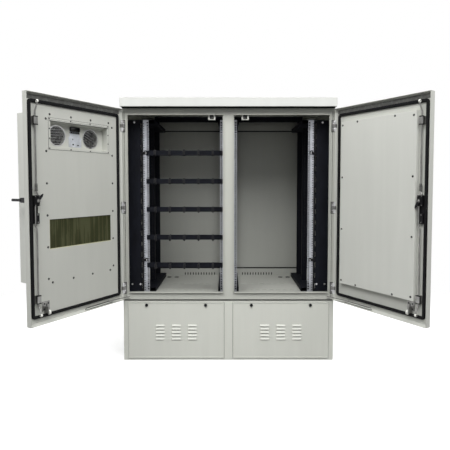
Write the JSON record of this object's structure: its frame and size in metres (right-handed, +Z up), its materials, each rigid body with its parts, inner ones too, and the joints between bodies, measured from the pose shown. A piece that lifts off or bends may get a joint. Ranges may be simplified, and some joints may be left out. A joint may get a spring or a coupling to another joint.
{
  "type": "outdoor equipment enclosure",
  "caption": "Two-bay outdoor rack cabinet on a plinth, with hinged doors, a door-mounted air conditioner, rod locks and cable managers.",
  "frame": {"origin": "on the ground at the centre of the plinth's footprint", "axes": "+Z up, -Y towards the front, +X to the right seen from the front"},
  "size_m": [2.1423, 1.2098, 1.616],
  "materials": {
    "body_paint": "light grey powder coat, fine texture",
    "roof_paint": "pale grey powder coat",
    "dark_paint": "black powder coat, satin",
    "zinc": "zinc plated, satin",
    "black_plastic": "moulded, satin",
    "nylon": "moulded, natural",
    "seal_rubber": "foamed rubber, matt",
    "fin_metal": "coated fins, satin"
  },
  "bodies": {
    "cabinet": {"plinth_frame": "body_paint", "plinth_cover_left": "body_paint", "plinth_cover_right": "body_paint", "cabinet_body": "body_paint", "front_frame": "body_paint", "rear_cover": "body_paint", "roof_cover": "roof_paint", "left_bay_outer_rail": "zinc", "left_bay_inner_rail": "zinc", "right_bay_outer_rail": "zinc", "right_bay_inner_rail": "zinc", "left_rack_frame": "dark_paint", "right_rack_frame": "dark_paint", "left_cable_panel": "dark_paint", "right_cable_panel": "dark_paint", "cable_manager_1": "black_plastic", "cable_manager_2": "black_plastic", "cable_manager_3": "black_plastic", "cable_manager_4": "black_plastic", "cable_manager_5": "black_plastic", "door_switch_left": "nylon", "door_switch_right": "nylon", "left_hinge_1": "zinc", "left_hinge_2": "zinc", "left_hinge_3": "zinc", "right_hinge_1": "zinc", "right_hinge_2": "zinc", "right_hinge_3": "zinc"},
    "left_switch_plunger": {"switch_plunger_left": "black_plastic"},
    "right_switch_plunger": {"switch_plunger_right": "black_plastic"},
    "left_door_leaf": {"left_door": "body_paint", "left_gasket": "seal_rubber", "ac_housing": "body_paint", "ac_return_panel": "body_paint", "ac_core": "fin_metal", "ac_controller": "black_plastic", "left_lock_case": "black_plastic", "left_handle_base": "dark_paint", "left_lifter_bracket": "zinc"},
    "fan_1": {"ac_fan_1": "black_plastic"},
    "fan_2": {"ac_fan_2": "black_plastic"},
    "left_lock_spindle": {"left_cam": "dark_paint"},
    "left_lever": {"left_handle": "dark_paint"},
    "left_upper_lock_rod": {"left_upper_rod": "zinc"},
    "left_lower_lock_rod": {"left_lower_rod": "zinc"},
    "left_wheel": {"left_lifter_wheel": "nylon"},
    "left_stay_arm": {"left_stay": "zinc"},
    "right_door_leaf": {"right_door": "body_paint", "right_gasket": "seal_rubber", "right_inner_cover": "body_paint", "right_lock_case": "black_plastic", "right_handle_base": "dark_paint", "right_lifter_bracket": "zinc"},
    "right_lock_spindle": {"right_cam": "dark_paint"},
    "right_lever": {"right_handle": "dark_paint"},
    "right_upper_lock_rod": {"right_upper_rod": "zinc"},
    "right_lower_lock_rod": {"right_lower_rod": "zinc"},
    "right_wheel": {"right_lifter_wheel": "nylon"},
    "right_stay_arm": {"right_stay": "zinc"}
  },
  "joints": [
    {"name": "left_door_hinge", "type": "hinge", "parent": "cabinet", "child": "left_door_leaf", "pos_m": [-0.6475, -0.3185, 0.95], "axis": [0, 0, 1], "range_deg": [0, 121.5]},
    {"name": "left_handle_turn", "type": "hinge", "parent": "left_door_leaf", "child": "left_lock_spindle", "pos_m": [-0.95422, -0.82955, 1.015], "axis": [0.8526, -0.5225, 0], "range_deg": [0, 90]},
    {"name": "left_lever_fold", "type": "hinge", "parent": "left_lock_spindle", "child": "left_lever", "pos_m": [-0.99822, -0.80259, 1.015], "axis": [0, 0, 1], "range_deg": [0, 90]},
    {"name": "left_upper_rod_slide", "type": "slide", "parent": "left_door_leaf", "child": "left_upper_lock_rod", "axis": [0, 0, 1], "range_m": [0, 0.016]},
    {"name": "left_lower_rod_slide", "type": "slide", "parent": "left_door_leaf", "child": "left_lower_lock_rod", "axis": [0, 0, -1], "range_m": [0, 0.016]},
    {"name": "left_wheel_spin", "type": "hinge", "parent": "left_door_leaf", "child": "left_wheel", "pos_m": [-0.91957, -0.79214, 0.4405], "axis": [-0.5225, -0.8526, 0], "continuous": true},
    {"name": "left_stay_hinge", "type": "hinge", "parent": "cabinet", "child": "left_stay_arm", "pos_m": [-0.617, -0.317, 0.4015], "axis": [0, 0, 1], "range_deg": [0, 131]},
    {"name": "left_switch_plunger_slide", "type": "slide", "parent": "cabinet", "child": "left_switch_plunger", "axis": [0, 1, 0], "range_m": [0, 0.004], "stiffness_N_per_m": 250, "springref_m": -0.002},
    {"name": "right_door_hinge", "type": "hinge", "parent": "cabinet", "child": "right_door_leaf", "pos_m": [0.6475, -0.3185, 0.95], "axis": [0, 0, -1], "range_deg": [0, 121.5]},
    {"name": "right_handle_turn", "type": "hinge", "parent": "right_door_leaf", "child": "right_lock_spindle", "pos_m": [0.95422, -0.82955, 1.015], "axis": [-0.8526, -0.5225, 0], "range_deg": [0, 90]},
    {"name": "right_lever_lift", "type": "hinge", "parent": "right_lock_spindle", "child": "right_lever", "pos_m": [0.99822, -0.80259, 1.015], "axis": [0, 0, -1], "range_deg": [0, 90]},
    {"name": "right_upper_rod_slide", "type": "slide", "parent": "right_door_leaf", "child": "right_upper_lock_rod", "axis": [0, 0, 1], "range_m": [0, 0.016]},
    {"name": "right_lower_rod_slide", "type": "slide", "parent": "right_door_leaf", "child": "right_lower_lock_rod", "axis": [0, 0, -1], "range_m": [0, 0.016]},
    {"name": "right_wheel_spin", "type": "hinge", "parent": "right_door_leaf", "child": "right_wheel", "pos_m": [0.91957, -0.79214, 0.4405], "axis": [0.5225, -0.8526, 0], "continuous": true},
    {"name": "right_stay_hinge", "type": "hinge", "parent": "cabinet", "child": "right_stay_arm", "pos_m": [0.617, -0.317, 0.4015], "axis": [0, 0, -1], "range_deg": [0, 131]},
    {"name": "right_switch_plunger_slide", "type": "slide", "parent": "cabinet", "child": "right_switch_plunger", "axis": [0, 1, 0], "range_m": [0, 0.004], "stiffness_N_per_m": 250, "springref_m": -0.002},
    {"name": "fan_1_spin", "type": "hinge", "parent": "left_door_leaf", "child": "fan_1", "pos_m": [-0.80205, -0.45836, 1.356], "axis": [-0.8526, 0.5225, 0], "continuous": true},
    {"name": "fan_2_spin", "type": "hinge", "parent": "left_door_leaf", "child": "fan_2", "pos_m": [-0.92066, -0.65191, 1.356], "axis": [-0.8526, 0.5225, 0], "continuous": true}
  ],
  "couplings": [
    {"joint": "left_upper_rod_slide", "follows": "left_handle_turn", "m_per_rad": 0.010185},
    {"joint": "left_lower_rod_slide", "follows": "left_handle_turn", "m_per_rad": 0.010185},
    {"joint": "left_stay_hinge", "follows": "left_door_hinge", "ratio": 1.0764},
    {"joint": "right_upper_rod_slide", "follows": "right_handle_turn", "m_per_rad": 0.010185},
    {"joint": "right_lower_rod_slide", "follows": "right_handle_turn", "m_per_rad": 0.010185},
    {"joint": "right_stay_hinge", "follows": "right_door_hinge", "ratio": 1.0764}
  ]
}
